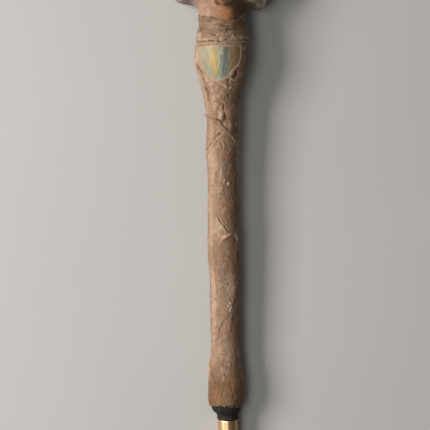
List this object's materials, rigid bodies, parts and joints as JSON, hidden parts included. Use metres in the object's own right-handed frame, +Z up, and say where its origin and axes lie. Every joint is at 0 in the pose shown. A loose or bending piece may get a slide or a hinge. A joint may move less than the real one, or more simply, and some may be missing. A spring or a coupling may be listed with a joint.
{
  "type": "ceremonial sceptre",
  "caption": "Hand-held sceptre: a staff wrapped in thin wrinkled skin swells to a lobed head, with a shell inlay on its front and a brass ferrule below a dark collar.",
  "frame": {"origin": "under the middle of the lying sceptre's box, on the floor", "axes": "+Y along the sceptre towards its head, +Z up, out of its front"},
  "size_m": [0.1064, 0.5522, 0.0678],
  "materials": {
    "wrinkled_skin": "thin tan skin or bark cloth, wrinkled and dried on a wooden core",
    "iridescent_shell": "worn iridescent shell, in bands of cream, yellow, green and grey-blue",
    "weathered_wood": "weathered wood with clay-like crust, matte",
    "dark_pitch": "matte, near black",
    "brass": "polished, with fine wear along its length"
  },
  "bodies": {
    "root": {"wrapped_shaft": "wrinkled_skin", "shell_inlay": "iridescent_shell", "head": "weathered_wood", "butt_collar": "dark_pitch", "brass_ferrule": "brass"}
  },
  "joints": []
}
